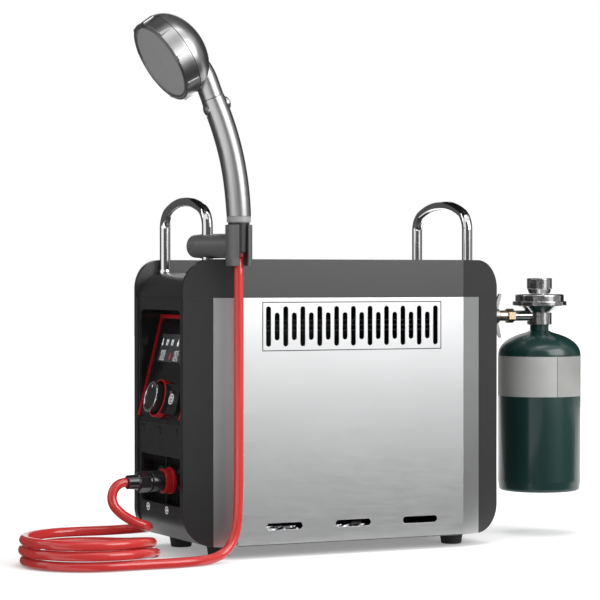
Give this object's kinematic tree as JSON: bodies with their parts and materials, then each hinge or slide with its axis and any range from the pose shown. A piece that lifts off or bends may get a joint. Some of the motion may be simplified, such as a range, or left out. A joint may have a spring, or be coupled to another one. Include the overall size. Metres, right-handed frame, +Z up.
{
  "type": "portable propane water heater",
  "caption": "Portable propane water heater: vented box casing with console, carry handles, coiled hose, hand shower on a bracket and side gas cylinder with regulator.",
  "frame": {"origin": "on the floor under the centre of the casing", "axes": "+X towards the gas cylinder, -X the control end, -Y the front panel, +Z up"},
  "size_m": [0.7188, 0.2436, 0.5812],
  "materials": {
    "dark_shell": "fine moulded texture",
    "silver_sheet": "satin lacquer",
    "black_rubber": "matt",
    "foil": "crinkled bright foil",
    "black_trim": "gloss",
    "red_trim": "satin",
    "display_glass": "smoked",
    "chrome": "polished",
    "grey_plastic": "satin",
    "satin_metal": "dark satin plating",
    "plated_plastic": "dark satin chrome plating on plastic",
    "face_grey": "satin",
    "brass": "machined",
    "green_paint": "satin enamel",
    "hose_red": "glossy",
    "steel": "plain",
    "copper": "copper",
    "board_green": "circuit board",
    "blue_wrap": "shrink wrap"
  },
  "bodies": {
    "casing": {"front_cover": "dark_shell", "rear_cover": "dark_shell", "front_panel": "silver_sheet", "rear_panel": "silver_sheet", "top_cap": "dark_shell", "base_pan": "dark_shell", "feet": "black_rubber", "heat_shield": "foil", "control_end_panel": "dark_shell", "gas_end_panel": "dark_shell", "console_housing": "black_trim", "console_trim": "red_trim", "console_face": "black_trim", "display_window": "display_glass", "dial_ring": "red_trim", "port_sockets": "black_trim", "water_bay": "black_trim", "water_ports": "grey_plastic", "quick_connector": "grey_plastic", "handle_left": "chrome", "handle_right": "chrome", "handle_nuts": "steel", "bracket_body": "grey_plastic", "hose_lead": "hose_red", "hose_riser": "hose_red", "hose_coil": "hose_red", "gas_inlet_fitting": "brass", "outlet_tube": "satin_metal", "regulator_body": "satin_metal", "regulator_bonnet": "satin_metal", "combustion_chamber": "steel", "heat_exchanger": "copper", "flue_hood": "steel", "burner": "steel", "gas_valve": "steel", "gas_pipe": "copper", "water_pipes": "copper", "water_pump": "grey_plastic", "control_board": "board_green", "battery_pack": "blue_wrap"},
    "knob": {"temperature_knob": "black_trim", "knob_face_ring": "chrome"},
    "power_button": {"power_button": "black_trim"},
    "port_cover_1": {"port_cover_1": "black_rubber"},
    "port_cover_2": {"port_cover_2": "black_rubber"},
    "port_cover_3": {"port_cover_3": "black_rubber"},
    "release_collar": {"release_collar": "red_trim"},
    "clamp_knob": {"bracket_knob": "grey_plastic"},
    "shower": {"cradle": "grey_plastic", "handset_collar": "plated_plastic", "handset_grip": "plated_plastic", "handset_head": "plated_plastic", "face_ring": "plated_plastic", "spray_face": "face_grey", "hose_nut": "chrome"},
    "pause_button": {"pause_button": "plated_plastic"},
    "wing_nut": {"wing_nut": "chrome"},
    "union_nut": {"union_nut": "brass"},
    "cylinder": {"cylinder": "green_paint"},
    "regulator_dial": {"regulator_dial": "satin_metal"}
  },
  "joints": [
    {"name": "knob_turn", "type": "hinge", "parent": "casing", "child": "knob", "pos_m": [-0.18719, 0.002, 0.169], "axis": [-0.9695, 0, 0.245], "continuous": true},
    {"name": "power_press", "type": "slide", "parent": "casing", "child": "power_button", "axis": [0.9695, 0, -0.245], "range_m": [0, 0.0015], "stiffness_N_per_m": 400},
    {"name": "port_cover_1_flip", "type": "hinge", "parent": "casing", "child": "port_cover_1", "pos_m": [-0.193, -0.05, 0.116], "axis": [0, -1, 0], "range_deg": [0, 100]},
    {"name": "port_cover_2_flip", "type": "hinge", "parent": "casing", "child": "port_cover_2", "pos_m": [-0.193, -0.002, 0.116], "axis": [0, -1, 0], "range_deg": [0, 100]},
    {"name": "port_cover_3_flip", "type": "hinge", "parent": "casing", "child": "port_cover_3", "pos_m": [-0.193, 0.046, 0.116], "axis": [0, -1, 0], "range_deg": [0, 100]},
    {"name": "collar_release", "type": "slide", "parent": "casing", "child": "release_collar", "axis": [1, 0, 0], "range_m": [0, 0.003], "stiffness_N_per_m": 500},
    {"name": "clamp_turn", "type": "hinge", "parent": "casing", "child": "clamp_knob", "pos_m": [-0.162, -0.0593, 0.3376], "axis": [0.3123, -0.95, 0], "continuous": true},
    {"name": "cradle_tilt", "type": "hinge", "parent": "casing", "child": "shower", "pos_m": [-0.14632, -0.10699, 0.3376], "axis": [0.3123, -0.95, 0], "range_deg": [-12, 12]},
    {"name": "pause_slide", "type": "slide", "parent": "shower", "child": "pause_button", "axis": [0.9205, 0, 0.3907], "range_m": [-0.0015, 0.0015]},
    {"name": "wing_nut_turn", "type": "hinge", "parent": "casing", "child": "wing_nut", "pos_m": [0.234, 0, 0.2585], "axis": [1, 0, 0], "continuous": true},
    {"name": "union_nut_turn", "type": "hinge", "parent": "casing", "child": "union_nut", "pos_m": [0.254, 0, 0.2585], "axis": [1, 0, 0], "continuous": true},
    {"name": "cylinder_unscrew", "type": "hinge", "parent": "casing", "child": "cylinder", "pos_m": [0.2953, 0, 0.2], "axis": [0, 0, 1], "continuous": true},
    {"name": "regulator_turn", "type": "hinge", "parent": "casing", "child": "regulator_dial", "pos_m": [0.2953, 0, 0.2845], "axis": [0, 0, 1], "range_deg": [0, 270]}
  ]
}
